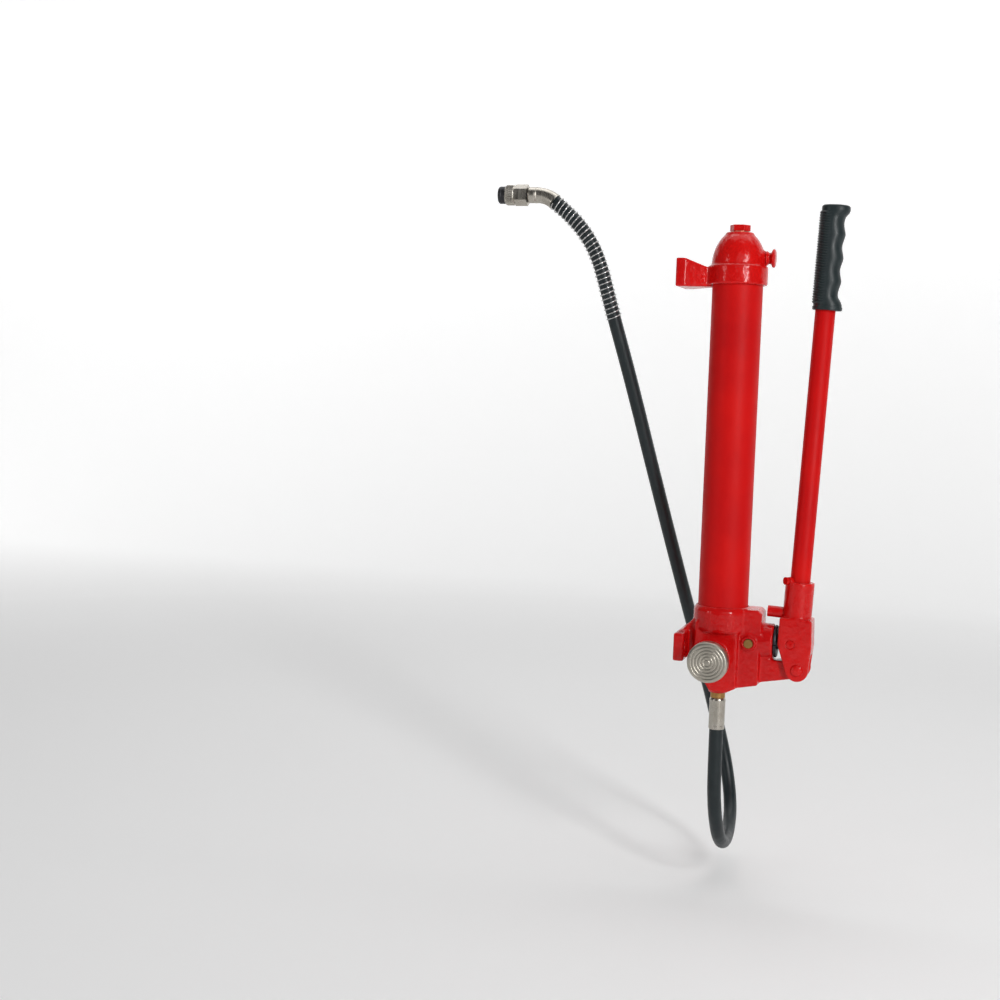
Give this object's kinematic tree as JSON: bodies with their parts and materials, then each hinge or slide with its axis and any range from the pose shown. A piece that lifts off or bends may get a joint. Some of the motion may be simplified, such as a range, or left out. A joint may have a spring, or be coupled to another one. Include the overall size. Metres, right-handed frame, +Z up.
{
  "type": "hydraulic hand pump",
  "caption": "Upright hydraulic hand pump with domed reservoir, side lever with finger grip, round release knob, two mounting flanges and a looped delivery hose.",
  "frame": {"origin": "centre of the lower mounting flange's flat back face", "axes": "+Z up along the reservoir, +X out of the mounting faces towards the lever, -Y towards the release knob"},
  "size_m": [0.4087, 0.2546, 0.7855],
  "materials": {
    "red_casting": "glossy thick enamel over a sand casting",
    "red_tube": "glossy smooth enamel",
    "machined_steel": "ground",
    "painted_pin": "glossy enamel",
    "blackened_steel": "black oxide",
    "zinc_plate": "bright zinc plate",
    "spring_steel": "drawn wire",
    "brass": "satin",
    "bronze": "sintered",
    "copper_washer": "soft copper",
    "knob_aluminium": "turned, with fine circular lines",
    "hose_rubber": "smooth satin cover",
    "grip_rubber": "moulded, satin",
    "seal_rubber": "matt",
    "seal_plastic": "matt"
  },
  "bodies": {
    "pump": {"pump_body": "red_casting", "reservoir_tube": "red_tube", "lower_gasket": "seal_rubber", "upper_gasket": "seal_rubber", "reservoir_cap": "red_casting", "pump_barrel": "machined_steel", "plunger_seal": "seal_rubber", "backup_ring": "seal_plastic", "gland_nut": "blackened_steel", "wiper_ring": "seal_rubber", "inlet_valve_cage": "machined_steel", "inlet_valve_seat": "machined_steel", "inlet_spring": "spring_steel", "suction_strainer": "brass", "outlet_valve_seat": "machined_steel", "outlet_spring": "spring_steel", "relief_spring": "spring_steel", "relief_screw": "zinc_plate", "gallery_plug": "brass", "release_gland": "zinc_plate", "release_seal": "seal_rubber", "fulcrum_bush": "bronze", "outlet_adapter": "brass", "hose_ferrule": "zinc_plate", "hose": "hose_rubber", "spring_guard": "spring_steel", "hose_elbow": "zinc_plate", "hose_end_collar": "zinc_plate", "coupler_body": "blackened_steel"},
    "lever": {"lever_socket": "red_casting", "stop_peg": "red_casting", "handle_lock_screw": "painted_pin", "fulcrum_pin": "painted_pin", "plunger_pin": "painted_pin", "fulcrum_clip": "blackened_steel", "plunger_clip": "blackened_steel", "handle_tube": "red_tube", "handle_grip": "grip_rubber"},
    "plunger": {"plunger": "machined_steel"},
    "release_spindle": {"release_spindle": "machined_steel", "release_ball": "machined_steel"},
    "release_knob": {"release_knob": "knob_aluminium"},
    "vent_washer": {"vent_seal": "seal_rubber"},
    "vent_screw": {"vent_screw": "red_casting"},
    "filler_washer": {"filler_washer": "copper_washer"},
    "filler_plug": {"filler_plug": "red_casting"},
    "inlet_ball": {"inlet_ball": "machined_steel"},
    "outlet_ball": {"outlet_ball": "machined_steel"},
    "relief_ball": {"relief_ball": "machined_steel"},
    "coupler_nut": {"coupler_nut": "zinc_plate"},
    "coupler_sleeve": {"coupler_sleeve": "zinc_plate"}
  },
  "joints": [
    {"name": "lever_swing", "type": "hinge", "parent": "pump", "child": "lever", "pos_m": [0.1366, 0, -0.02], "axis": [0, 1, 0], "range_deg": [-1, 36]},
    {"name": "plunger_stroke", "type": "slide", "parent": "pump", "child": "plunger", "axis": [1, 0, 0], "range_m": [-0.0007, 0.0196]},
    {"name": "release_spindle_travel", "type": "slide", "parent": "pump", "child": "release_spindle", "axis": [0, -1, 0], "range_m": [0, 0.0015]},
    {"name": "release_knob_turn", "type": "hinge", "parent": "release_spindle", "child": "release_knob", "pos_m": [0.0445, 0, -0.0095], "axis": [0, -1, 0], "range_deg": [0, 360]},
    {"name": "vent_washer_travel", "type": "slide", "parent": "pump", "child": "vent_washer", "axis": [1, 0, 0], "range_m": [0, 0.0015]},
    {"name": "vent_screw_turn", "type": "hinge", "parent": "vent_washer", "child": "vent_screw", "pos_m": [0.048, 0, 0.4417], "axis": [1, 0, 0], "range_deg": [0, 360]},
    {"name": "filler_washer_lift", "type": "slide", "parent": "pump", "child": "filler_washer", "axis": [0, 0, 1], "range_m": [0, 0.0015]},
    {"name": "filler_plug_turn", "type": "hinge", "parent": "filler_washer", "child": "filler_plug", "pos_m": [0.048, 0, 0.4716], "axis": [0, 0, 1], "range_deg": [0, 360]},
    {"name": "inlet_ball_lift", "type": "slide", "parent": "pump", "child": "inlet_ball", "axis": [0, 0, -1], "range_m": [0, 0.0015], "stiffness_N_per_m": 60, "springref_m": -0.002, "deforming": ["inlet_spring"]},
    {"name": "outlet_ball_lift", "type": "slide", "parent": "pump", "child": "outlet_ball", "axis": [0, 0, -1], "range_m": [0, 0.0015], "stiffness_N_per_m": 60, "springref_m": -0.002, "deforming": ["outlet_spring"]},
    {"name": "relief_ball_lift", "type": "slide", "parent": "pump", "child": "relief_ball", "axis": [0, 1, 0], "range_m": [0, 0.001], "stiffness_N_per_m": 60, "springref_m": -0.002, "deforming": ["relief_spring"]},
    {"name": "coupler_nut_turn", "type": "hinge", "parent": "pump", "child": "coupler_nut", "pos_m": [-0.213, 0.009, 0.5138], "axis": [-1, 0, 0], "continuous": true},
    {"name": "coupler_sleeve_turn", "type": "hinge", "parent": "pump", "child": "coupler_sleeve", "pos_m": [-0.227, 0.009, 0.5138], "axis": [-1, 0, 0], "continuous": true}
  ],
  "couplings": [
    {"joint": "plunger_stroke", "follows": "lever_swing", "m_per_rad": 0.0298},
    {"joint": "release_knob_turn", "follows": "release_spindle_travel", "rad_per_m": 4188.8},
    {"joint": "vent_screw_turn", "follows": "vent_washer_travel", "rad_per_m": 4188.8},
    {"joint": "filler_plug_turn", "follows": "filler_washer_lift", "rad_per_m": 4188.8}
  ]
}
